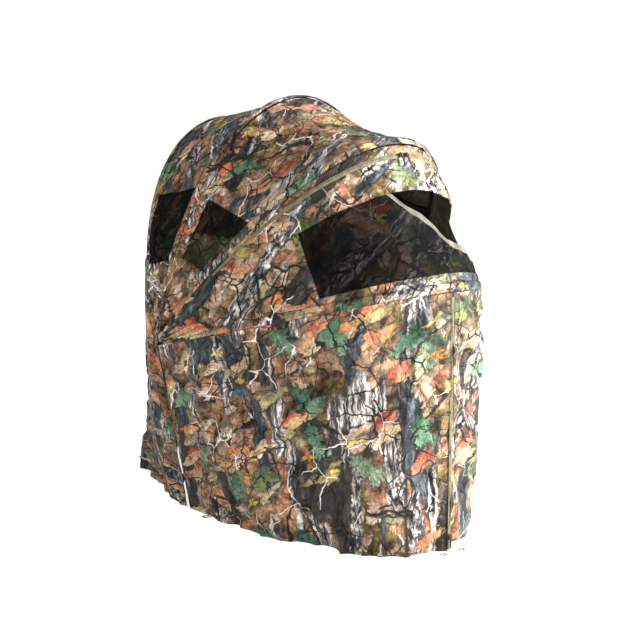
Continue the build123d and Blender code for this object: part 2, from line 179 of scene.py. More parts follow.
def grid_sheet(name, turns, shares, place, flat_place):
    """A grid with one vertex for each pair of lines; place and flat_place give position and UV."""
    deselect()
    bpy.ops.mesh.primitive_grid_add(
        x_subdivisions=len(turns) - 1, y_subdivisions=len(shares) - 1, size=2, calc_uvs=True
    )
    piece = bpy.context.active_object
    piece.name = name
    piece.data.name = name
    mesh = piece.data
    count = len(mesh.vertices)
    co = np.empty(count * 3)
    mesh.vertices.foreach_get("co", co)
    co = co.reshape(-1, 3)
    column = np.rint((co[:, 0] + 1) / 2 * (len(turns) - 1)).astype(int)
    row = np.rint((co[:, 1] + 1) / 2 * (len(shares) - 1)).astype(int)
    turn, share = turns[column], shares[row]
    points = place(turn, share)
    flat = flat_place(turn, share)
    mesh.vertices.foreach_set("co", points.astype(np.float32).ravel())
    loops = np.empty(len(mesh.loops), dtype=np.int32)
    mesh.loops.foreach_get("vertex_index", loops)
    mesh.uv_layers[0].name = "flat"
    mesh.uv_layers[0].data.foreach_set("uv", flat[loops].astype(np.float32).ravel())
    for label, values in (("turn", turn), ("share", share)):
        attribute = mesh.attributes.new(label, "FLOAT", "POINT")
        attribute.data.foreach_set("value", values.astype(np.float32))
    mesh.update()
    return piece


def values_of(piece, label):
    attribute = piece.data.attributes[label]
    values = np.empty(len(attribute.data), dtype=np.float32)
    attribute.data.foreach_get("value", values)
    return values


def write_values(piece, label, values):
    mesh = piece.data
    attribute = mesh.attributes.get(label) or mesh.attributes.new(label, "FLOAT", "POINT")
    attribute.data.foreach_set("value", np.asarray(values, dtype=np.float32))


def cut_window(piece, turn_range, share_range):
    """Deletes the faces whose middle lies inside the window."""
    turn, share = values_of(piece, "turn"), values_of(piece, "share")
    make_active(piece)
    bpy.ops.object.mode_set(mode="EDIT")
    bpy.ops.mesh.select_mode(type="FACE")
    bpy.ops.mesh.select_all(action="DESELECT")
    bpy.ops.object.mode_set(mode="OBJECT")
    for face in piece.data.polygons:
        index = list(face.vertices)
        inside_turn = turn_range[0] < turn[index].mean() < turn_range[1]
        face.select = bool(inside_turn and share_range[0] < share[index].mean() < share_range[1])
    bpy.ops.object.mode_set(mode="EDIT")
    bpy.ops.mesh.delete(type="FACE")
    bpy.ops.object.mode_set(mode="OBJECT")


def flip_faces(piece):
    make_active(piece)
    bpy.ops.object.mode_set(mode="EDIT")
    bpy.ops.mesh.select_all(action="SELECT")
    bpy.ops.mesh.flip_normals()
    bpy.ops.object.mode_set(mode="OBJECT")


def point_outwards(piece, middle):
    """Flips the sheet if its faces look towards the middle of the blind."""
    face = piece.data.polygons[len(piece.data.polygons) // 2]
    if face.normal.dot(face.center - Vector(middle)) < 0:
        flip_faces(piece)


INSIDE = (0.0, PIVOT_Y - 0.1, 0.6)      # a point well inside the blind
SMOOTH_ANGLE = math.radians(50)


def finish_cloth(piece, materials, thickness=CLOTH):
    """Gives a sheet its outside, thickness and materials; the last one lines the back."""
    point_outwards(piece, INSIDE)
    piece.data.materials.clear()
    for material in materials:
        piece.data.materials.append(material)
    solid = piece.modifiers.new("thickness", "SOLIDIFY")
    solid.thickness = thickness
    solid.offset = -1.0
    solid.material_offset = len(materials) - 1
    solid.use_even_offset = False
    apply_all(piece)
    make_active(piece)
    bpy.ops.object.shade_smooth_by_angle(angle=SMOOTH_ANGLE)


def fan_blend(piece, share):
    """Works out each point's share of the way from hoop a to hoop b, then puts every point back where it was; only
    the object's transform is cleared.
    """
    mesh = piece.data
    kept = np.empty(len(mesh.vertices) * 3, dtype=np.float32)
    mesh.vertices.foreach_get("co", kept)
    along = 0.5 - np.sin(np.arcsin(np.clip(1 - 2 * share, -1, 1)) / 3)
    line = np.zeros((len(mesh.vertices), 3), dtype=np.float32)
    line[:, 0] = along
    mesh.vertices.foreach_set("co", line.ravel())
    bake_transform(piece)
    mesh.vertices.foreach_set("co", kept)
    mesh.update()


# %% [markdown]
# ## Where cloth creases
#
# Stretched cloth is smooth along the pull and creased across it. The folds here are sums
# of smooth noise, each stretched along the direction in which the cloth hangs or is
# pulled, and they fade to nothing where the cloth is sewn to a hoop.

# %% Creases
def soft_noise(flat, across, along, seed):
    """Smooth noise from -1 to 1 on the flat cloth; across and along are waves per metre."""
    points = [Vector((u * across, v * along, seed)) for u, v in flat]
    return np.array([noise.noise(point) for point in points])


def ridges(flat, across, along, seed, sharpness):
    """Narrow raised creases, 0 to 1."""
    return (1 - np.abs(soft_noise(flat, across, along, seed))) ** (sharpness * 4)


def slanted(flat, slope):
    """The flat cloth sheared, so that folds run aslant."""
    return np.stack([flat[:, 0] + flat[:, 1] * slope, flat[:, 1]], -1)


def outward_normals(place, turn, share):
    """Points of a surface and its outward normals, from points a small step to each side."""
    step = 0.4
    small = 0.004
    base = place(turn, share)
    along = place(np.clip(turn + step, 0, 180), share) - place(np.clip(turn - step, 0, 180), share)
    down = place(turn, share + small) - place(turn, share - small)
    normal = np.cross(along, down)
    normal /= np.maximum(np.linalg.norm(normal, axis=1), 1e-9)[:, None]
    flip = np.sign(((base - np.array(INSIDE)) * normal).sum(1))
    return base, normal * flip[:, None]


# %% [markdown]
# ## Colours and a node helper
#
# Colours are given as the hex values seen on a calibrated screen and turned to linear
# light once. One function adds a node, sets its options and joins its inputs.

# %% Node helper
def linear(hex_colour):
    channels = [int(hex_colour[i:i + 2], 16) / 255 for i in (1, 3, 5)]
    return tuple(c / 12.92 if c <= 0.04045 else ((c + 0.055) / 1.055) ** 2.4 for c in channels) + (1.0,)


def add(tree, kind, *values, named=None, ramp=None, **settings):
    """Adds a node: values fill its inputs in order, named ones by name, ramp is (place, hex) stops."""
    node = tree.nodes.new(kind)
    for key, value in settings.items():
        setattr(node, key, value)
    given = list(enumerate(values)) + list((named or {}).items())
    for key, value in given:
        if value is None:
            continue
        socket = node.inputs[key]
        if isinstance(value, bpy.types.Node):
            tree.links.new(value.outputs[0], socket)
        elif isinstance(value, bpy.types.NodeSocket):
            tree.links.new(value, socket)
        else:
            socket.default_value = value
    if ramp:
        stops = node.color_ramp.elements
        while len(stops) < len(ramp):
            stops.new(1.0)
        for stop, (place, colour) in zip(stops, ramp):
            stop.position = place
            stop.color = linear(colour) if isinstance(colour, str) else (colour, colour, colour, 1.0)
    return node


MATH, VECTOR, NOISE = "ShaderNodeMath", "ShaderNodeVectorMath", "ShaderNodeTexNoise"
RAMP, MIX, VORONOI = "ShaderNodeValToRGB", "ShaderNodeMix", "ShaderNodeTexVoronoi"


def mix_colour(tree, amount, under, over, blend="MIX"):
    """A colour mix; the Mix node's colour sockets share their names with other types."""
    node = tree.nodes.new(MIX)
    node.data_type = "RGBA"
    node.blend_type = blend
    for index, value in ((0, amount), (6, under), (7, over)):
        if isinstance(value, (bpy.types.Node, bpy.types.NodeSocket)):
            source = value.outputs[0] if isinstance(value, bpy.types.Node) else value
            tree.links.new(source, node.inputs[index])
        else:
            node.inputs[index].default_value = value
    return node.outputs[2]


# %% [markdown]
# ## The woodland print
#
# The cloth is printed like a forest: blurred leaf litter, slate trunks, rough pale bark,
# thin branches, and leaves in autumn colours that fade from red to straw. Each kind is one
# layer. For leaves, a Voronoi texture deals out places, colours and turns, and a lobed
# outline round each cell's middle, torn by fine noise, gives the leaf its shape.

# %% Leaf layer
def flat_noise(tree, flat, scale, detail=2.0, roughness=0.5):
    return add(tree, NOISE, flat, named={"Scale": scale, "Detail": detail, "Roughness": roughness},
               noise_dimensions="2D")


def torn(tree, flat, scale, amount, detail=3.0):
    """The flat place pushed about by noise, so that outlines look torn."""
    wobble = flat_noise(tree, flat, scale, detail, 0.6)
    centred = add(tree, VECTOR, wobble.outputs["Color"], (0.5, 0.5, 0.5), operation="SUBTRACT")
    scaled = add(tree, VECTOR, centred, (amount, amount, 0.0), operation="MULTIPLY")
    return add(tree, VECTOR, flat, scaled, operation="ADD")


def leaf_layer(tree, flat, under, cell, seed, size, lobes, depth, presence, upper, lower, shadow=0.5):
    """One scatter of leaves over the colour under; cell and size are in metres."""
    moved = add(tree, VECTOR, flat, (seed * 1.37, seed * 0.71, 0), operation="ADD")
    place = torn(tree, moved, 1.5 / size, size * 1.25, 5.0)
    cells = add(tree, VORONOI, named={"Vector": place, "Scale": 1 / cell, "Randomness": 0.9},
                voronoi_dimensions="2D")
    offset = add(tree, VECTOR, place, cells.outputs["Position"], operation="SUBTRACT")
    split = add(tree, "ShaderNodeSeparateXYZ", offset)
    dice = add(tree, "ShaderNodeSeparateColor", cells.outputs["Color"])
    angle = add(tree, MATH, split.outputs[1], split.outputs[0], operation="ARCTAN2")
    turned = add(tree, MATH, dice.outputs[0], 6.283, angle, operation="MULTIPLY_ADD")
    reach = add(tree, VECTOR, offset, operation="LENGTH").outputs["Value"]
    # the outline: its lobes, then small teeth, then one longer side
    edge = size * (1 - depth)
    for waves, height in ((float(lobes), size * depth), (lobes * 4.0 + 1.0, size * 0.06),
                          (2.0, size * 0.24)):
        wave = add(tree, MATH, add(tree, MATH, turned, waves, operation="MULTIPLY"), operation="COSINE")
        edge = add(tree, MATH, wave, height, edge, operation="MULTIPLY_ADD")
    inside = add(tree, MATH, edge, reach, operation="SUBTRACT")
    here = add(tree, MATH, dice.outputs[2], presence, operation="LESS_THAN")
    sharp = add(tree, MATH, inside, 1 / 0.006, operation="MULTIPLY", use_clamp=True)
    mask = add(tree, MATH, sharp, here, operation="MULTIPLY")
    shade = add(tree, MATH, inside, 1 / 0.02, 1.0, operation="MULTIPLY_ADD", use_clamp=True)
    shade = add(tree, MATH, shade, here, operation="MULTIPLY")
    shade = add(tree, MATH, shade, shadow, operation="MULTIPLY")
    shaded = mix_colour(tree, shade, under, linear("#1c1712"))
    top = add(tree, RAMP, dice.outputs[1], ramp=upper)
    bottom = add(tree, RAMP, dice.outputs[1], ramp=lower)
    top.color_ramp.interpolation = "CONSTANT"
    bottom.color_ramp.interpolation = "CONSTANT"
    streak = flat_noise(tree, place, 2.2 / size, 3.0)
    fade = add(tree, MATH, split.outputs[1], -0.9 / size, 0.1, operation="MULTIPLY_ADD")
    fade = add(tree, MATH, streak, 1.0, fade, operation="MULTIPLY_ADD", use_clamp=True)
    leaf = mix_colour(tree, fade, top.outputs[0], bottom.outputs[0])
    mottle = flat_noise(tree, place, 3 / size, 5.0, 0.72)
    tone = add(tree, RAMP, mottle, ramp=[(0.3, 0.5), (0.48, 0.98), (0.7, 1.3)])
    leaf = mix_colour(tree, 1.0, leaf, tone.outputs[0], "MULTIPLY")
    vein = add(tree, MATH, add(tree, MATH, turned, lobes / 2, operation="MULTIPLY"), operation="SINE")
    vein = add(tree, MATH, vein, operation="ABSOLUTE")
    vein = add(tree, MATH, vein, reach, operation="MULTIPLY")
    vein = add(tree, MATH, vein, -1 / (size * 0.06), 1.0, operation="MULTIPLY_ADD", use_clamp=True)
    vein = add(tree, MATH, vein, 0.3, operation="MULTIPLY")
    leaf = mix_colour(tree, vein, leaf, linear("#6d4a30"))
    return mix_colour(tree, mask, shaded, leaf)


# %% Twig layer
def twig_layer(tree, flat, under, cell, seed, width, stretch, colour, broken):
    """Thin crossing lines: the edges of stretched Voronoi cells, broken up by noise."""
    moved = add(tree, VECTOR, flat, (seed * 0.83, seed * 1.91, 0), operation="ADD")
    place = torn(tree, moved, 9.0, 0.06)
    place = add(tree, VECTOR, place, stretch, operation="MULTIPLY")
    cells = add(tree, VORONOI, named={"Vector": place, "Scale": 1 / cell}, voronoi_dimensions="2D",
                feature="DISTANCE_TO_EDGE")
    swell = flat_noise(tree, moved, 6.0, 1.0)
    taper = add(tree, RAMP, swell, ramp=[(0.3, 0.35), (0.7, 1.0)])
    thin = add(tree, MATH, cells, -cell / width, taper, operation="MULTIPLY_ADD")
    thin = add(tree, MATH, thin, 2.5, operation="MULTIPLY", use_clamp=True)
    gaps = flat_noise(tree, moved, 5.0, 1.0)
    keep = add(tree, MATH, gaps, broken, operation="GREATER_THAN")
    mask = add(tree, MATH, thin, keep, operation="MULTIPLY")
    return mix_colour(tree, mask, under, linear(colour))


# %% Trunk layer
def trunk_layer(tree, flat, under, seed, threshold, waves, bark, plates):
    """Upright trunks: bands of stretched noise, filled with bark."""
    moved = add(tree, VECTOR, flat, (seed, seed * 0.37, 0), operation="ADD")
    ragged = torn(tree, moved, 26.0, 0.02)
    tall = add(tree, VECTOR, ragged, (1.0, 0.17, 1.0), operation="MULTIPLY")
    band = flat_noise(tree, tall, waves, 1.2, 0.4)
    mask = add(tree, MATH, band, -threshold, operation="ADD")
    mask = add(tree, MATH, mask, 34.0, operation="MULTIPLY", use_clamp=True)
    grain_place = add(tree, VECTOR, ragged, (1.0, 0.4 if plates else 0.08, 1.0), operation="MULTIPLY")
    grain = flat_noise(tree, grain_place, 75.0, 5.0, 0.7)
    colour = add(tree, RAMP, grain, ramp=bark).outputs[0]
    if plates:
        crack_place = torn(tree, grain_place, 40.0, 0.02)
        cracks = add(tree, VORONOI, named={"Vector": crack_place, "Scale": 48.0},
                     voronoi_dimensions="2D", feature="DISTANCE_TO_EDGE")
        crack = add(tree, RAMP, cracks, ramp=[(0.02, 0.12), (0.16, 1.0)])
        colour = mix_colour(tree, 0.85, colour, crack.outputs[0], "MULTIPLY")
    return mix_colour(tree, mask, under, colour)


# %% The whole print
STRAW = [(0.0, "#d6bf95"), (0.2, "#c9a986"), (0.4, "#b9ab7a"), (0.6, "#dfc6a4"), (0.8, "#b8977a")]
RUST = [(0.0, "#c64e2f"), (0.2, "#b95c3c"), (0.4, "#d26a45"), (0.6, "#a3422c"), (0.8, "#c87648")]
LITTER_TOP = [(0.0, "#a98a70"), (0.16, "#8c7056"), (0.34, "#b89a82"), (0.5, "#77604a"),
              (0.66, "#a87a5c"), (0.8, "#8a8460"), (0.92, "#c2a68e")]
LITTER_LOW = [(0.0, "#c0a287"), (0.16, "#a58a6c"), (0.34, "#cdb199"), (0.5, "#93795e"),
              (0.66, "#bd9b80"), (0.8, "#a29a74"), (0.92, "#d6bfa6")]
GREEN_TOP = [(0.0, "#2f5f45"), (0.35, "#41704f"), (0.6, "#364f35"), (0.85, "#587a5e")]
GREEN_LOW = [(0.0, "#628a6d"), (0.35, "#78997c"), (0.6, "#78824c"), (0.85, "#93a585")]
YELLOW = [(0.0, "#c9b04a"), (0.3, "#bf8a45"), (0.55, "#aea552"), (0.8, "#d3bb78")]
PALE_BARK = [(0.38, "#1b1715"), (0.47, "#6b635e"), (0.53, "#b9afa8"), (0.62, "#efe8e2")]
SLATE = [(0.34, "#15181a"), (0.5, "#333c42"), (0.64, "#5f6c72")]
DARK_WOOD = [(0.34, "#0f0d0c"), (0.52, "#2b2620"), (0.68, "#564a3d")]


def woodland_print():
    tree = bpy.data.node_groups.new("woodland leaf print", "ShaderNodeTree")
    tree.interface.new_socket("Flat", in_out="INPUT", socket_type="NodeSocketVector")
    tree.interface.new_socket("Color", in_out="OUTPUT", socket_type="NodeSocketColor")
    flat = tree.nodes.new("NodeGroupInput").outputs[0]
    ground = flat_noise(tree, flat, 13.0, 7.0, 0.75)
    colour = add(tree, RAMP, ground, ramp=[(0.32, "#1a1510"), (0.41, "#65523f"), (0.49, "#a0846c"),
                                           (0.58, "#cbae97"), (0.7, "#e2cbb6")]).outputs[0]
    tint = flat_noise(tree, flat, 5.0, 2.0)
    hue = add(tree, RAMP, tint, ramp=[(0.36, "#a9a672"), (0.48, "#e2d2ba"), (0.6, "#f0c4aa")])
    colour = mix_colour(tree, 1.0, colour, hue.outputs[0], "MULTIPLY")
    colour = leaf_layer(tree, flat, colour, 0.06, 3.0, 0.03, 3, 0.2, 0.62, LITTER_TOP, LITTER_LOW, 0.5)
    colour = trunk_layer(tree, flat, colour, 4.6, 0.61, 9.0, DARK_WOOD, False)
    colour = trunk_layer(tree, flat, colour, 7.3, 0.60, 12.0, SLATE, False)
    colour = trunk_layer(tree, flat, colour, 2.9, 0.605, 7.0, PALE_BARK, True)
    colour = trunk_layer(tree, flat, colour, 12.4, 0.63, 15.0, PALE_BARK, False)
    colour = twig_layer(tree, flat, colour, 0.15, 4.0, 0.009, (1.0, 0.6, 1.0), "#191512", 0.48)
    # the fallen leaves lie slanted, drawn out along one diagonal as if brushed
    slanted_flat = add(tree, "ShaderNodeVectorRotate", named={"Vector": flat, "Angle": -0.62},
                       rotation_type="Z_AXIS")
    wide = add(tree, VECTOR, slanted_flat, (0.52, 1.15, 1.0), operation="MULTIPLY")
    colour = leaf_layer(tree, wide, colour, 0.12, 5.0, 0.042, 3, 0.28, 0.34, LITTER_TOP, STRAW)
    colour = leaf_layer(tree, wide, colour, 0.125, 8.0, 0.05, 3, 0.3, 0.5, RUST, STRAW, 0.6)
    colour = leaf_layer(tree, flat, colour, 0.16, 21.0, 0.052, 5, 0.24, 0.36, GREEN_TOP, GREEN_LOW, 0.6)
    colour = leaf_layer(tree, wide, colour, 0.085, 11.0, 0.02, 3, 0.3, 0.2, YELLOW, YELLOW, 0.4)
    colour = twig_layer(tree, flat, colour, 0.075, 9.0, 0.0036, (0.7, 1.0, 1.0), "#14110f", 0.44)
    colour = twig_layer(tree, flat, colour, 0.05, 31.0, 0.0024, (1.0, 0.5, 1.0), "#1c1814", 0.5)
    colour = twig_layer(tree, flat, colour, 0.09, 15.0, 0.003, (1.0, 0.7, 1.0), "#e6dfd8", 0.58)
    # fine dark strokes, the pine needles and grass between the leaves, drawn about 2 mm wide
    strokes = add(tree, VECTOR, torn(tree, flat, 12.0, 0.05), (1.0, 0.3, 1.0), operation="MULTIPLY")
    needles = flat_noise(tree, strokes, 190.0, 3.0, 0.65)
    needle_tone = add(tree, RAMP, needles, ramp=[(0.3, 0.22), (0.45, 0.86), (0.55, 1.0), (0.72, 1.45)])
    colour = mix_colour(tree, 0.8, colour, needle_tone.outputs[0], "MULTIPLY")
    patches = flat_noise(tree, flat, 10.0, 4.0, 0.7)
    patch_tone = add(tree, RAMP, patches, ramp=[(0.32, 0.28), (0.46, 0.9), (0.6, 1.05)])
    colour = mix_colour(tree, 0.8, colour, patch_tone.outputs[0], "MULTIPLY")
    end = tree.nodes.new("NodeGroupOutput")
    tree.links.new(colour, end.inputs[0])
    return tree


PRINT = woodland_print()


# %% [markdown]
# ## Cloth materials
#
# The cloth is a plain-woven polyester with the print on its face and a coating on its
# back. Its face has a slight silky sheen and fine packing creases, which break up the
# light. The creases are far finer than the folds, so they are in the bump, not the mesh.

# %% Cloth materials
def new_material(name):
    material = bpy.data.materials.new(name)
    material.use_nodes = True
    return material, material.node_tree


def dress(material, colour, bump=None, **settings):
    """Joins colour and bump to the material's shader and sets its plain values."""
    tree = material.node_tree
    inputs = tree.nodes["Principled BSDF"].inputs
    tree.links.new(colour, inputs["Base Color"])
    if bump:
        tree.links.new(bump.outputs[0], inputs["Normal"])
    for name, value in settings.items():
        inputs[SHADER_NAMES[name]].default_value = value
    return inputs


SHADER_NAMES = {
    "roughness": "Roughness",
    "specular": "Specular IOR Level",
    "sheen": "Sheen Weight",
    "sheen_roughness": "Sheen Roughness",
    "metallic": "Metallic",
    "glow": "Emission Color",
}


def flat_cloth(tree):
    return add(tree, "ShaderNodeUVMap", uv_map="flat").outputs[0]


def crease_bump(tree, flat, strength, distance):
    """Crumples of 4 to 12 cm and the weave, 0.9 mm, drawn coarse enough to show."""
    bend = flat_noise(tree, flat, 6.0)
    moved = mix_colour(tree, 0.12, flat, bend.outputs["Color"], "ADD")
    crumple = add(tree, VORONOI, named={"Vector": moved, "Scale": 13.0}, voronoi_dimensions="2D",
                  feature="DISTANCE_TO_EDGE")
    crumple = add(tree, MATH, crumple, 0.35, operation="POWER")
    fine = flat_noise(tree, flat, 34.0, 4.0, 0.6)
    height = add(tree, MATH, fine, 0.6, crumple, operation="MULTIPLY_ADD")
    pulled = add(tree, VECTOR, torn(tree, flat, 7.0, 0.08), (1.0, 0.45, 1.0), operation="MULTIPLY")
    drawn = add(tree, VORONOI, named={"Vector": pulled, "Scale": 21.0}, voronoi_dimensions="2D",
                feature="SMOOTH_F1")
    height = add(tree, MATH, drawn, 1.4, height, operation="MULTIPLY_ADD")
    first = add(tree, "ShaderNodeBump", named={"Strength": strength, "Distance": distance,
                                               "Height": height})
    weave = add(tree, "ShaderNodeTexChecker", flat, named={"Scale": 1100.0})
    return add(tree, "ShaderNodeBump", named={"Strength": 0.15, "Distance": 0.0003,
                                              "Height": weave.outputs["Fac"], "Normal": first})


def printed_cloth():
    """Print, a dark line of painted shade along each sewn edge, and a row of stitches 9 mm from it.

    Real stitches are 3 mm long. These repeat every 8 mm and are 1.6 mm wide, so that they show.
    """
    material, tree = new_material("woven_polyester_leaf_print")
    flat = flat_cloth(tree)
    colour = add(tree, "ShaderNodeGroup", flat, node_tree=PRINT)
    faded = flat_noise(tree, flat, 3.0)
    wash = add(tree, RAMP, faded, ramp=[(0.35, 0.9), (0.65, 1.12)])
    tinted = mix_colour(tree, 1.0, colour.outputs[0], wash.outputs[0], "MULTIPLY")
    hem = add(tree, "ShaderNodeAttribute", attribute_name="hem").outputs["Fac"]
    run = add(tree, "ShaderNodeAttribute", attribute_name="run").outputs["Fac"]
    # painted shade: a dark line 3.5 mm wide along each sewn edge, standing in for the shade in the seam
    seam_shade = add(tree, MATH, hem, -1 / 0.0035, 1.0, operation="MULTIPLY_ADD", use_clamp=True)
    seam_shade = add(tree, MATH, seam_shade, 0.8, operation="MULTIPLY")
    tinted = mix_colour(tree, seam_shade, tinted, linear("#16130f"))
    dash = add(tree, MATH, add(tree, MATH, run, 785.0, operation="MULTIPLY"), operation="SINE")
    dash = add(tree, MATH, dash, -0.2, operation="GREATER_THAN")
    row = add(tree, MATH, hem, 0.009, 0.0008, operation="COMPARE")
    thread = add(tree, MATH, row, dash, operation="MULTIPLY")
    thread = add(tree, MATH, thread, 0.6, operation="MULTIPLY")
    tinted = mix_colour(tree, thread, tinted, linear("#4e4736"))
    dress(material, tinted, crease_bump(tree, flat, 1.0, 0.009), roughness=0.5, specular=0.32,
          sheen=0.06, sheen_roughness=0.4)
    return material


def back_with_painted_backlight():
    material, tree = new_material("coated_cloth_back_olive_painted_backlight")
    flat = flat_cloth(tree)
    patches = flat_noise(tree, flat, 11.0, 3.0)
    # painted light: the olive is lighter than the coating, and the print mixed in at 35 % stands in for light
    # shining through the cloth from behind
    colour = add(tree, RAMP, patches, ramp=[(0.35, "#7b755c"), (0.65, "#a19a7e")])
    through = add(tree, "ShaderNodeGroup", flat, node_tree=PRINT)
    mixed = mix_colour(tree, 0.35, colour.outputs[0], through.outputs[0])
    dress(material, mixed, crease_bump(tree, flat, 0.4, 0.004), roughness=0.5)
    return material


CAMO = printed_cloth()
BACK = back_with_painted_backlight()
print("cloth materials", CAMO.name, BACK.name)


def mesh_material(name, clear, low, high, print_share):
    """See-through netting: part of the surface is open, the threads are dark."""
    material, tree = new_material(name)
    flat = flat_cloth(tree)
    colour = add(tree, "ShaderNodeGroup", flat, node_tree=PRINT)
    blotches = flat_noise(tree, flat, 22.0, 3.0)
    dark = add(tree, RAMP, blotches, ramp=[(0.35, low), (0.7, high)])
    mixed = mix_colour(tree, print_share, dark.outputs[0], colour.outputs[0])
    inputs = dress(material, mixed, roughness=0.8, specular=0.08)
    holes = flat_noise(tree, flat, 90.0)
    cover = add(tree, RAMP, holes, ramp=[(0.3, 1 - clear * 1.25), (0.7, 1 - clear * 0.75)])
    tree.links.new(cover.outputs[0], inputs["Alpha"])
    return material


NET = mesh_material("black_polyester_netting", 0.07, "#020202", "#080707", 0.055)
SHADE_NET = mesh_material("printed_shade_netting", 0.08, "#141a10", "#28321f", 0.16)

# %% [markdown]
# ## The hood's three panels
#
# Each panel is sewn to two hoops. Between them the cloth is pulled straight, sinks a
# little in the middle, and gathers into pleats where the panel narrows to the hub.

# %% Hood panels
FRONT_WINDOW = ((49.0, 131.0), (0.335, 0.905))
SIDE_WINDOW = ((22.5, 38.5), (0.23, 0.94))
REAR_WINDOW = ((20.5, 40.5), (0.08, 0.92))
SAG = {"rear_canopy": 0.010, "roof": 0.027, "front": 0.006}
SEEDS = {"rear_canopy": 4.1, "roof": 1.3, "front": 7.7}
PANEL_START = 3.0
ZIP_SHARE = 0.105             # the brow zip's place on the front panel


def mirrored(turns):
    return (180 - turns[1], 180 - turns[0])


def panel_width(panel):
    """Straight distance from hoop to hoop at the crown."""
    a, b = (HOOPS[name] for name in PANELS[panel])
    turn = math.radians(a[1] - b[1])
    return math.sqrt(a[0] ** 2 + b[0] ** 2 - 2 * a[0] * b[0] * math.cos(turn))


FINE_TURNS = np.linspace(0, 180, 721)


def hoop_length(panel_or_hoop, turn):
    """Length of cloth from the left foot, along the middle of a panel."""
    if panel_or_hoop in PANELS:
        points = panel_point(panel_or_hoop, FINE_TURNS, np.full(721, 0.5))
    elif panel_or_hoop == "skirt":
        points = skirt_point(FINE_TURNS, np.full(721, 0.5))
    elif panel_or_hoop == "rear_wall":
        points = rear_wall_point(FINE_TURNS, np.full(721, 0.5))
    else:
        points = hoop_point(panel_or_hoop, FINE_TURNS)
    steps = np.linalg.norm(np.diff(points, axis=0), axis=1)
    return np.interp(turn, FINE_TURNS, np.concatenate([[0], np.cumsum(steps)]))


def panel_flat(panel, corner):
    """The cut of a gore: as wide at each turn as the hoops are apart there."""
    width = panel_width(panel)

    def flat(turn, share):
        along = hoop_length(panel, turn)
        across = (share - 0.5) * width * np.sin(np.radians(turn))
        # the panel is cut aslant, its length turned 60 degrees on the printed cloth
        u = along * 0.5 + across * 0.866 + corner[0]
        v = along * 0.866 - across * 0.5 + corner[1]
        return np.stack([u, v], -1)

    return flat


def panel_surface(panel, lift=0.0):
    """Where the cloth of a hood panel lies, sag and creases included."""
    seed = SEEDS[panel]
    width = panel_width(panel)

    def place(turn, share):
        base, normal = outward_normals(lambda t, s: panel_point(panel, t, s), turn, share)
        span = np.sin(np.radians(turn)) * width
        slack = 4 * share * (1 - share)
        sag = -SAG[panel] * slack * np.sin(np.radians(turn)) ** 1.5
        along = hoop_length(panel, turn)
        flat = np.stack([along, (share - 0.5) * span], -1)
        near_hub = np.exp(-(np.minimum(turn, 180 - turn) / 24.0) ** 2)
        pleats = near_hub * 0.007 * np.sin(share * 31.0 + 2.5 * soft_noise(flat, 3, 3, seed)) * slack
        soft = 0.010 * soft_noise(slanted(flat, 0.6), 5.0, 2.2, seed + 5)
        fine = 0.007 * ridges(slanted(flat, -0.8), 9.0, 4.0, seed + 9, 1.4)
        crumple = 0.004 * soft_noise(slanted(flat, 0.4), 22.0, 15.0, seed + 12)
        free = np.minimum(1, slack * 2.0)
        if panel == "front":
            free = free * np.clip(np.abs(share - ZIP_SHARE) / 0.08, 0.1, 1)
        move = sag + pleats + (soft + fine + crumple) * free + lift
        return base + normal * move[:, None]

    return place


HUB_BODY = {"rear": "rear_bow", "top": "top_bow", "brow": "brow_bow", "waist": "waist_bow"}
STILL_SHARE = 0.16            # folding_share is 0 on the front panel up to this share, zip included


def folding_share(panel, share):
    """A point's share of the way from one hoop to the next; on the front panel it is 0 up to STILL_SHARE."""
    if panel == "front":
        return np.clip((share - STILL_SHARE) / (1 - STILL_SHARE), 0, 1)
    return share


def mark_seams(sheet, kind, windows, ends):
    """Writes each point's distance from the nearest sewn edge, and its place along it."""
    turn, share = values_of(sheet, "turn"), values_of(sheet, "share")
    along = hoop_length(kind, turn)
    width = panel_width(kind) * np.sin(np.radians(turn)) if kind in PANELS else np.full(len(turn), 0.75)
    hem = np.minimum(share - ends[0], ends[1] - share) * width
    for turn_range, share_range in windows:
        low, high = (float(hoop_length(kind, value)) for value in turn_range)
        side = np.maximum(np.maximum(low - along, along - high), 0)
        over = np.maximum(np.maximum(share_range[0] - share, share - share_range[1]), 0) * width
        hem = np.minimum(hem, np.hypot(side, over))
    # the cloth material paints a line of shade along each sewn edge from this distance, and places its stitch row
    # by it
    write_values(sheet, "hem", np.maximum(hem, 0))
    write_values(sheet, "run", along + (share - 0.5) * width)


# where each panel is cut from the printed cloth, so that no two carry the same leaves
CORNERS = {"roof": (0.3, 0.2), "rear_canopy": (2.2, 0.9), "front": (4.4, 1.7)}


def hood_panel(panel, node, stops, windows):
    a, b = PANELS[panel]
    edge = SEAM_ANGLE / abs(HOOPS[a][1] - HOOPS[b][1])
    share_stops = sorted({edge, 1 - edge} | {value for _, shares in windows for value in shares})
    turns = spaced(stops, 1.0)
    shares = spaced(share_stops, 0.018)
    sheet = grid_sheet(f"{panel}_cloth", turns, shares, panel_surface(panel),
                       panel_flat(panel, CORNERS[panel]))
    mark_seams(sheet, panel, windows, (share_stops[0], share_stops[-1]))
    for turn_range, share_range in windows:
        cut_window(sheet, turn_range, share_range)
    finish_cloth(sheet, [CAMO, BACK])
    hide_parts(node)
    fan_blend(sheet, folding_share(panel, values_of(sheet, "share")))


for panel, node, (turns, shares) in (("roof", "roof_panel", SIDE_WINDOW),
                                     ("rear_canopy", "rear_canopy", REAR_WINDOW)):
    other = mirrored(turns)
    hood_panel(panel, node, [PANEL_START, *turns, *other, 180 - PANEL_START],
               [(turns, shares), (other, shares)])
hood_panel("front", "front_panel", [PANEL_START, *FRONT_WINDOW[0], 180 - PANEL_START], [FRONT_WINDOW])

# %% [markdown]
# ## Window netting
#
# Each window is closed with dark netting, sewn in behind the cloth. It is the same surface
# as its panel, a little lower, and reaches past the opening under the seam.

# %% Window netting
NET_TUCK = 0.8                # degrees by which netting runs on under the cloth
NET_DROP = 0.0025


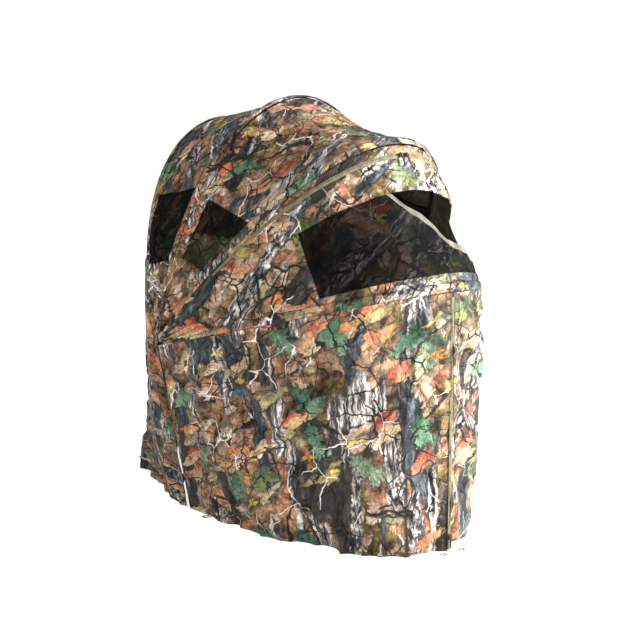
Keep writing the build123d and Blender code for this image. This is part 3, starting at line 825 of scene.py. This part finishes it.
def netting(name, panel, node, window, top_edge=None, flap_height=0.0):
    turn_range, shares = window
    tuck = NET_TUCK / 32          # the same, as a share of a panel about 32 degrees wide
    turns = spaced([turn_range[0] - NET_TUCK, turn_range[1] + NET_TUCK], 1.0)
    lines = spaced([0.0, 1.0], 0.05)
    surface = panel_surface(panel, -NET_DROP)
    flat = panel_flat(panel, CORNERS[panel])

    def share_of(turn, line):
        low = shares[0] - tuck
        if top_edge is not None:
            low = np.interp(turn, *top_edge)
        return low + (shares[1] + tuck - low) * line

    sheet = grid_sheet(name, turns, lines, lambda t, l: surface(t, share_of(t, l)),
                       lambda t, l: flat(t, share_of(t, l)))
    write_values(sheet, "share", share_of(values_of(sheet, "turn"), values_of(sheet, "share")))
    finish_cloth(sheet, [NET], thickness=0.0004)
    if flap_height:
        shade_below(sheet, flap_height)
    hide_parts(node)
    fan_blend(sheet, folding_share(panel, values_of(sheet, "share")))


def shade_below(sheet, height):
    """Gives the faces below a height the netting that has a cloth flap hanging behind it."""
    sheet.data.materials.append(SHADE_NET)
    for face in sheet.data.polygons:
        face.material_index = 1 if face.center.z < height else 0


FLAP_HEIGHT = 0.895           # top of the flap half raised behind each side window
# the netting's top edge: turns from left to right, and the share it has slipped to at each
DROOP = ([40.0, 78.0, 84.0, 92.0, 98.0, 132.0], [0.31, 0.31, 0.46, 0.56, 0.70, 0.84])
netting("front_window_net", "front", "front_mesh", FRONT_WINDOW, top_edge=DROOP)
for side in ("left", "right"):
    for panel, node, window in (("roof", "side_mesh", SIDE_WINDOW),
                                ("rear_canopy", "rear_mesh", REAR_WINDOW)):
        turns = window[0] if side == "left" else mirrored(window[0])
        netting(f"{node}_net_{side}", panel, f"{node}_{side}", (turns, window[1]),
                flap_height=FLAP_HEIGHT if node == "side_mesh" else 0.0)

# %% [markdown]
# The front netting is held up by a pale tape sewn along its top edge. On one side it has
# slipped down, which leaves a gap that shows the inside of the hood.

# %% Top tape of the front netting
def woven_material(name, low, high, threads):
    """Coarse woven tape; its ribs, about 1 mm apart in a real one, are drawn 4 mm apart to show, with painted
    shade in the grooves.
    """
    material, tree = new_material(name)
    flat = flat_cloth(tree)
    patches = flat_noise(tree, flat, 30.0, 4.0, 0.6)
    colour = add(tree, RAMP, patches, ramp=[(0.35, low), (0.65, high)])
    ribs = add(tree, "ShaderNodeTexWave", flat, named={"Scale": threads, "Distortion": 1.0},
               bands_direction="Y")
    # painted shade and light: each groove darker and each rib top a little lighter, following the bump
    tone = add(tree, RAMP, ribs.outputs["Fac"], ramp=[(0.0, 0.72), (1.0, 1.05)])
    rib_shaded = mix_colour(tree, 1.0, colour.outputs[0], tone.outputs[0], "MULTIPLY")
    bump = add(tree, "ShaderNodeBump", named={"Strength": 0.5, "Distance": 0.0006,
                                              "Height": ribs.outputs["Fac"]})
    dress(material, rib_shaded, bump, roughness=0.75)
    return material


PALE_TAPE = woven_material("woven_polyester_tape_pale_grey", "#57534a", "#7c766a", 75.0)
OLIVE_TAPE = woven_material("woven_zip_tape_olive", "#5f5a3e", "#857c58", 75.0)
TAPE_HALF = 0.012
TAPE_HALF_SHARE = 0.022


def net_tape():
    first, last = FRONT_WINDOW[0]
    turns = spaced([first, last], 0.8)
    lines = spaced([-1.0, 1.0], 0.5)
    surface = panel_surface("front", -0.0012)

    def share_of(turn, line):
        return np.interp(turn, *DROOP) + line * TAPE_HALF_SHARE

    def flat(turn, line):
        return np.stack([hoop_length("front", turn), line * TAPE_HALF], -1)

    sheet = grid_sheet("front_net_top_tape", turns, lines,
                       lambda t, l: surface(t, share_of(t, l)), flat)
    finish_cloth(sheet, [PALE_TAPE], thickness=0.0006)
    turn, line = values_of(sheet, "turn"), values_of(sheet, "share")
    fan_blend(sheet, folding_share("front", share_of(turn, line)))


net_tape()

# %% [markdown]
# ## Skirts and rear wall
#
# Below the waist hoop the cloth hangs to the ground in two skirts that meet at the front
# zip. Behind, one wall comes down from the rear hoop. Hanging cloth falls in upright and
# slanting folds that grow towards the hem, where only the stake loops hold it.

# %% Hanging cloth
def hanging_surface(base_place, name, seed):
    """Hanging folds, laid over the straight cloth; skirts lie flat beside the zip."""
    def place(turn, share):
        _, normal = outward_normals(base_place, turn, np.clip(share, 0.004, 0.996))
        base = base_place(turn, share)
        along = hoop_length(name, turn)
        flat = np.stack([along, share * 0.75], -1)
        free = np.clip(share * 3.0, 0, 1) ** 0.8
        middle = 1.0
        if name == "skirt":
            middle = np.clip(np.abs(turn - 90) / 9.0, 0, 1)
        wide = 0.042 * soft_noise(slanted(flat, 0.35), 4.2, 1.2, seed)
        slant = 0.034 * soft_noise(slanted(flat, -0.9), 7.5, 2.0, seed + 3)
        crease = 0.028 * ridges(slanted(flat, 0.8), 5.0, 1.8, seed + 6, 2.0)
        upright = 0.012 * ridges(slanted(flat, 0.12), 9.0, 1.1, seed + 11, 1.4)
        small = 0.013 * ridges(slanted(flat, -0.5), 12.0, 6.0, seed + 8, 1.1)
        crumple = 0.005 * soft_noise(slanted(flat, 0.5), 26.0, 18.0, seed + 14)
        push = (wide + slant - 0.022) * free * middle
        fine = crease + upright + small + crumple - 0.010
        push = push + fine * np.clip(share * 8, 0, 1) * (0.35 + 0.65 * middle)
        # the side edges stay on their seam, so that skirt and rear wall meet there
        sides = np.clip(np.minimum(turn, 180 - turn) / 7.0, 0, 1)
        push = np.minimum(push, 0.014) * sides
        moved = base + normal * push[:, None]
        moved[:, 2] = np.maximum(moved[:, 2], 0.0008)
        return moved

    return place


def hanging_flat(name, height, corner):
    def flat(turn, share):
        return np.stack([hoop_length(name, turn) + corner[0], corner[1] - share * height], -1)

    return flat


SKIRT_EDGE = 0.4              # degrees left clear between a sheet's side edge and the hub
ZIP_HALF = 0.0075
FRONT_ZIP_HALF = 0.0052
ZIP_GAP = 0.2                 # degrees from the middle of the zip to the cloth


def height_of(place):
    """Length of a hanging cloth from hoop to hem, in the middle."""
    top, bottom = place(np.array([90.0, 90.0]), np.array([0.0, 1.0]))
    return float(np.linalg.norm(top - bottom))


skirt_height = height_of(skirt_point)
wall_height = height_of(rear_wall_point)


def hanging_sheet(name, node, base_place, kind, turn_range, height, corner, seed):
    turns = spaced(turn_range, 0.55)
    shares = spaced([0.0, 1.0], 0.011)
    surface = hanging_surface(base_place, kind, seed)
    sheet = grid_sheet(name, turns, shares, surface, hanging_flat(kind, height, corner))
    mark_seams(sheet, kind, [], (-0.02, 1.0))
    if kind == "skirt":
        # the zip's edges get the same painted shade line and stitch row as a seam
        to_zip = hoop_length(kind, values_of(sheet, "turn")) - hoop_length(kind, 90.0)
        to_zip = np.abs(to_zip) - ZIP_HALF
        write_values(sheet, "hem", np.minimum(values_of(sheet, "hem"), np.maximum(to_zip, 0)))
    finish_cloth(sheet, [CAMO, BACK])
    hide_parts(node)
    length = float(hoop_length(kind, turns[-1]) - hoop_length(kind, turns[0]))
    return sheet, length


for side, turn_range, seed in (("left", [SKIRT_EDGE, 90 - ZIP_GAP], 2.2),
                               ("right", [90 + ZIP_GAP, 180 - SKIRT_EDGE], 6.4)):
    sheet, length = hanging_sheet(f"skirt_{side}_cloth", f"skirt_{side}", skirt_point, "skirt",
                                  turn_range, skirt_height, (0.0, 3.0), seed)
    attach(sheet, "waist_bow")

sheet, length = hanging_sheet("rear_wall_cloth", "rear_wall", rear_wall_point, "rear_wall",
                              [SKIRT_EDGE, 180 - SKIRT_EDGE], wall_height, (1.1, 5.5), 9.1)
fan_blend(sheet, 1 - values_of(sheet, "share"))

# %% [markdown]
# ## Hoop sleeves
#
# Each hoop runs in a sleeve sewn over the seam between two panels. It stands out over the
# rod as a low rounded ridge.

# %% Hoop sleeves
SLEEVE_HALF = 0.0135
SLEEVE_LIFT = 0.0035
# the panel whose print each sleeve carries on, and the edge of it that the sleeve covers
SLEEVE_PRINT = {
    "rear": ("rear_canopy", 0.0),
    "top": ("roof", 0.0),
    "brow": ("roof", 1.0),
    "waist": ("front", 1.0),
}


def sleeve(hoop, seed):
    panel, edge = SLEEVE_PRINT[hoop]
    reach, angle = HOOPS[hoop]
    turns = spaced([3.0, 177.0], 1.0)
    lines = spaced([-1.0, 1.0], 0.2)

    def place(turn, line):
        # the ridge stands highest over the rod and lies on the panels at both edges
        out = np.sin(np.radians(turn))
        narrow = np.clip(out * reach * math.radians(1.6), 0.006, SLEEVE_HALF)
        uneven = soft_noise(np.stack([turn / 9, line], -1), 3, 1, seed)
        lift = SLEEVE_LIFT * (1 - line ** 2) + 0.0012 * uneven
        base = hoop_point(hoop, turn)
        a = math.radians(angle)
        side = np.array([0.0, math.sin(a), math.cos(a)])
        towards = base - np.array([0, PIVOT_Y, PIVOT_Z])
        towards = towards / np.linalg.norm(towards, axis=1)[:, None]
        return base - side * (line * narrow)[:, None] + towards * lift[:, None]

    def flat(turn, line):
        share = edge + line * SLEEVE_HALF / panel_width(panel)
        return panel_flat(panel, CORNERS[panel])(turn, share)

    sheet = grid_sheet(f"{hoop}_sleeve_cloth", turns, lines, place, flat)
    # the sleeve's edges get the painted shade line of a seam
    write_values(sheet, "hem", (1 - np.abs(values_of(sheet, "share"))) * SLEEVE_HALF)
    write_values(sheet, "run", hoop_length(hoop, values_of(sheet, "turn")))
    finish_cloth(sheet, [CAMO, BACK])
    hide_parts(f"{hoop}_sleeve")
    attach(sheet, HUB_BODY[hoop])


for number, hoop in enumerate(HOOPS):
    sleeve(hoop, 3.0 + number)

# %% [markdown]
# ## Zips
#
# A coil zip shows as a narrow ribbed coil between two strips of woven tape. It is one
# strip here, whose middle is raised into ribs; real ribs are 1.5 mm apart and these are
# 4 mm, so that they still show.

# %% Zips
RIB_PITCH = 0.004
COIL_SHARE = 0.34             # the coil takes this much of the tape's half-width
COIL_HEIGHT = 0.0018


def coil_lift(across, along):
    ribs = 0.6 + 0.4 * np.cos(2 * np.pi * along / RIB_PITCH)
    return COIL_HEIGHT * ribs * np.clip(1 - (across / COIL_SHARE) ** 2, 0, 1)


ACROSS = np.array([-1.0, -0.65, -0.34, -0.17, 0.0, 0.17, 0.34, 0.65, 1.0])


def front_zip_place(share, across):
    middle = skirt_point(np.full(len(share), 90.0), share)
    lift = 0.0009 + coil_lift(across, share * skirt_height)
    return middle + np.stack([across * FRONT_ZIP_HALF, -lift, 0 * lift], -1)


def zip_strip(name, node, turns, place, flat, body):
    sheet = grid_sheet(name, turns, ACROSS, place, flat)
    finish_cloth(sheet, [OLIVE_TAPE], thickness=0.0006)
    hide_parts(node)
    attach(sheet, body)


zip_strip("front_zip_coil", "front_zip", spaced([0.016, 0.982], 0.0018), front_zip_place,
          lambda share, across: np.stack([across * FRONT_ZIP_HALF, share * skirt_height], -1),
          "waist_bow")

FRONT_SURFACE = panel_surface("front")


def brow_zip_place(turn, across):
    share = ZIP_SHARE + across * ZIP_HALF / panel_width("front")
    base, normal = outward_normals(FRONT_SURFACE, turn, share)
    lift = 0.0012 + coil_lift(across, hoop_length("front", turn))
    return base + normal * lift[:, None]


zip_strip("brow_zip_coil", "brow_zip", spaced([24.0, 156.0], 0.11), brow_zip_place,
          lambda turn, across: np.stack([across * ZIP_HALF, hoop_length("front", turn)], -1),
          "brow_bow")

# %% [markdown]
# ## Stake loops
#
# A loop of webbing is sewn to the hem at six places, for ground stakes. Each is a strap
# that comes out from under the hem, turns round and goes back.

# %% Stake loops
WEBBING = woven_material("woven_webbing_grey_olive", "#4c4a3d", "#7a7663", 90.0)
STRAP = 0.0055                # width of the strap
STRAP_LENGTH = 0.075


def stake_loop(place, side, body):
    """A strap along a U, found in the CAD loop's own frame."""
    node = f"stake_loop_{place}_{side}"
    points = np.array([v.co for v in frame["nodes"][node].data.vertices])
    centre = points.mean(0)
    away = centre - np.array([0, PIVOT_Y, 0])
    flat_points = points[:, :2] - centre[:2]
    # the strap's own directions: the longer side of the CAD ring runs outwards
    _, _, axes = np.linalg.svd(flat_points - flat_points.mean(0), full_matrices=False)
    out = max((np.array([*axis, 0.0]) * sign for axis in axes for sign in (-1, 1)),
              key=lambda axis: axis @ away / np.linalg.norm(away))
    along = np.array([-out[1], out[0], 0.0])
    length, width = 0.028, 0.021

    def place_points(path, line):
        # path 0 to 1 goes out along one leg, round the end and back along the other
        leg = 0.36
        run = np.clip(path / leg, 0, 1) - np.clip((path - (1 - leg)) / leg, 0, 1)
        turn = np.clip((path - leg) / (1 - 2 * leg), 0, 1) * np.pi
        radius = width / 2 - STRAP / 2 + line * STRAP / 2
        reach = -length / 2 + run * (length - width / 2) + radius * np.sin(turn)
        aside = -radius * np.cos(turn)
        lift = 0.0012 + 0.0035 * np.sin(np.pi * path) ** 2 + 0.0008 * np.sin(9 * path)
        base = np.array([centre[0], centre[1], 0.0])
        base = base + out * reach[:, None] + along * aside[:, None]
        return base + np.array([0, 0, 1.0]) * lift[:, None]

    sheet = grid_sheet(f"webbing_loop_{place}_{side}", spaced([0.0, 1.0], 0.02),
                       spaced([-1.0, 1.0], 0.5), place_points,
                       lambda path, line: np.stack([line * STRAP / 2, path * STRAP_LENGTH], -1))
    if sum(face.normal.z for face in sheet.data.polygons) < 0:
        flip_faces(sheet)
    sheet.data.materials.clear()
    sheet.data.materials.append(WEBBING)
    solid = sheet.modifiers.new("thickness", "SOLIDIFY")
    solid.thickness = 0.0014
    solid.offset = 1.0
    apply_all(sheet)
    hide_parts(node)
    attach(sheet, body)


for place in ("front", "side", "rear"):
    for side in ("left", "right"):
        stake_loop(place, side, "chair" if place == "rear" else "waist_bow")

# %% [markdown]
# ## Chair slings
#
# Seat and back are heavy cloth between two bars. Cloth under its own weight and use hangs
# in a shallow curve, deepest in the middle, with hemmed side edges.

# %% Chair slings
def sling_material():
    material, tree = new_material("heavy_woven_polyester_black")
    flat = flat_cloth(tree)
    weave = add(tree, "ShaderNodeTexChecker", flat, named={"Scale": 420.0})
    worn = flat_noise(tree, flat, 9.0, 4.0, 0.6)
    colour = add(tree, RAMP, worn, ramp=[(0.35, "#161616"), (0.65, "#2b2a28")])
    # painted shade: the weave squares that the bump sinks are also made darker
    tone = mix_colour(tree, 0.25, colour.outputs[0], weave.outputs["Color"], "MULTIPLY")
    bump = add(tree, "ShaderNodeBump", named={"Strength": 0.4, "Distance": 0.0008,
                                              "Height": weave.outputs["Fac"]})
    dress(material, tone, bump, roughness=0.8)
    return material


SLING = sling_material()


def chair_sling(name, node, sag_direction, sag, bodies):
    low, high = (np.array(corner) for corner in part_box(node))

    def place(line, share):
        x = low[0] + (high[0] - low[0]) * line
        y = low[1] + (high[1] - low[1]) * share
        z = low[2] + (high[2] - low[2]) * share
        dip = sag * (4 * share * (1 - share)) * (0.55 + 0.45 * np.sin(np.pi * line))
        ripple = 0.0015 * soft_noise(np.stack([x, y + z], -1), 14.0, 14.0, sag * 90)
        offset = np.array(sag_direction) * (dip + ripple)[:, None]
        return np.stack([x, y, z], -1) + offset

    size = high - low
    depth = float(np.hypot(size[1], size[2]))
    sheet = grid_sheet(name, spaced([0.0, 1.0], 0.03), spaced([0.0, 1.0], 0.03), place,
                       lambda line, share: np.stack([line * size[0], share * depth], -1))
    finish_cloth(sheet, [SLING], thickness=0.0014)
    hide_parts(node)
    if len(bodies) == 2:
        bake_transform(sheet)
    else:
        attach(sheet, bodies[0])


chair_sling("seat_sling_cloth", "seat_sling", (0, 0, -1), 0.022, ("leg_frame", "chair"))
chair_sling("back_sling_cloth", "back_sling", (0, 1, 0), 0.018, ("chair",))

# %% [markdown]
# ## Frame and small parts
#
# The chair and hoops are steel tube and rod with a satin black powder coat, which has a
# fine orange-peel skin. Pins are zinc plated, spacers and pulls are moulded, sliders are
# die cast and painted, and the feet are rubber.

# %% Frame materials
GLOSS_SPREAD = 0.1


def solid_material(name, low, high, roughness, metallic, grain, bump_height):
    """A hard finish: slow colour drift, grain in mm for the bump, and uneven gloss."""
    material, tree = new_material(name)
    place = add(tree, "ShaderNodeTexCoord").outputs["Object"]
    drift = add(tree, NOISE, place, named={"Scale": 18.0, "Detail": 4.0, "Roughness": 0.6})
    colour = add(tree, RAMP, drift, ramp=[(0.35, low), (0.65, high)])
    fine = add(tree, NOISE, place, named={"Scale": 1000.0 / grain, "Detail": 3.0})
    bump = add(tree, "ShaderNodeBump", named={"Strength": 0.4, "Distance": bump_height, "Height": fine})
    gloss = add(tree, RAMP, drift, ramp=[(0.3, roughness - GLOSS_SPREAD),
                                         (0.7, roughness + GLOSS_SPREAD)])
    inputs = dress(material, colour.outputs[0], bump, metallic=metallic)
    tree.links.new(gloss.outputs[0], inputs["Roughness"])
    return material


# slot: name, dark and light colour, roughness, metallic, grain in mm, bump height in metres
ROWS = {
    "frame_steel": ("powder_coated_steel_satin_black", "#121212", "#1e1e1d", 0.42, 0.0, 1.2, 0.0004),
    "pin_steel": ("zinc_plated_steel", "#a9abac", "#c3c4c2", 0.3, 1.0, 0.6, 0.0001),
    "nylon": ("moulded_nylon_black", "#191919", "#242423", 0.5, 0.0, 0.9, 0.0002),
    "rubber": ("moulded_rubber_black", "#141413", "#22211f", 0.75, 0.0, 1.5, 0.0004),
    "slider_metal": ("painted_zinc_casting_black", "#0f0f0f", "#1b1b1a", 0.35, 0.0, 0.8, 0.0002),
    "pull_plastic": ("moulded_pull_tab_black", "#111111", "#1d1c1b", 0.45, 0.0, 0.8, 0.0002),
}
FINISHES = {slot: solid_material(*row) for slot, row in ROWS.items()}
dressed = 0
for part in frame["record"]["subparts"]:
    finish = FINISHES.get(part["material_slot"])
    if finish:
        piece = frame["nodes"][part["node"]]
        if not piece.material_slots:
            piece.data.materials.append(finish)
        for slot in piece.material_slots:
            slot.material = finish
        dressed += 1
print("CAD parts given a finish:", dressed)

# %% [markdown]
# ## Camera, light and floor

# %% Camera
# the view is from the front left, about 4.3 m away and at a standing person's chest height
VIEW_TURN = math.radians(-38.707)
VIEW_TILT = math.radians(9.503)
VIEW_DISTANCE = 4.276
VIEW_TARGET = Vector((0.03, PIVOT_Y - 0.182, 0.599))
LENS_MM = 75.09
SENSOR = 36.0


def add_camera():
    level = math.cos(VIEW_TILT)
    back = Vector((math.sin(VIEW_TURN) * level, -math.cos(VIEW_TURN) * level, math.sin(VIEW_TILT)))
    data = bpy.data.cameras.new("view")
    data.sensor_width = SENSOR
    data.lens = LENS_MM
    camera = bpy.data.objects.new("view", data)
    bpy.context.collection.objects.link(camera)
    camera.location = VIEW_TARGET + back * VIEW_DISTANCE
    camera.rotation_euler = (-back).to_track_quat("-Z", "Y").to_euler()
    bpy.context.scene.camera = camera


add_camera()


# %% Lights
def area_light(name, place, size, power, aim=(0, 0, 0.6)):
    data = bpy.data.lights.new(name, "AREA")
    data.size = size
    data.energy = power
    light = bpy.data.objects.new(name, data)
    bpy.context.collection.objects.link(light)
    light.location = place
    light.rotation_euler = (Vector(aim) - Vector(place)).to_track_quat("-Z", "Y").to_euler()


area_light("key", (3.1, -4.5, 2.5), 0.5, 900)
area_light("fill", (-3.8, -3.6, 1.9), 2.0, 120)
area_light("top", (0.4, -0.6, 4.5), 2.5, 70)

world = bpy.data.worlds.new("studio")
world.use_nodes = True
bpy.context.scene.world = world
world_tree = world.node_tree
background = world_tree.nodes["Background"]
background.inputs["Color"].default_value = (1, 1, 1, 1)
rays = add(world_tree, "ShaderNodeLightPath")
strength = add(world_tree, MATH, rays.outputs["Is Camera Ray"], 0.85, 0.20, operation="MULTIPLY_ADD")
world_tree.links.new(strength.outputs[0], background.inputs["Strength"])
bpy.context.scene.view_settings.view_transform = "Standard"

# %% Floor
deselect()
bpy.ops.mesh.primitive_plane_add(size=60, location=(0, 0, -0.0005))
floor = bpy.context.active_object
floor.name = "floor"
material, tree = new_material("white_paper_sweep")
fibres = add(tree, NOISE, add(tree, "ShaderNodeTexCoord").outputs["Object"], named={"Scale": 40.0})
tone = add(tree, RAMP, fibres, ramp=[(0.4, "#f6f6f5"), (0.6, "#f9f9f8")])
inputs = dress(material, tone.outputs[0], roughness=0.9, glow=(1, 1, 1, 1))
# the sweep looks white to the camera, yet adds little light from below
to_eye = add(tree, "ShaderNodeLightPath").outputs["Is Camera Ray"]
glow = add(tree, MATH, to_eye, 0.65, 0.2, operation="MULTIPLY_ADD")
tree.links.new(glow.outputs[0], inputs["Emission Strength"])
floor.data.materials.append(material)
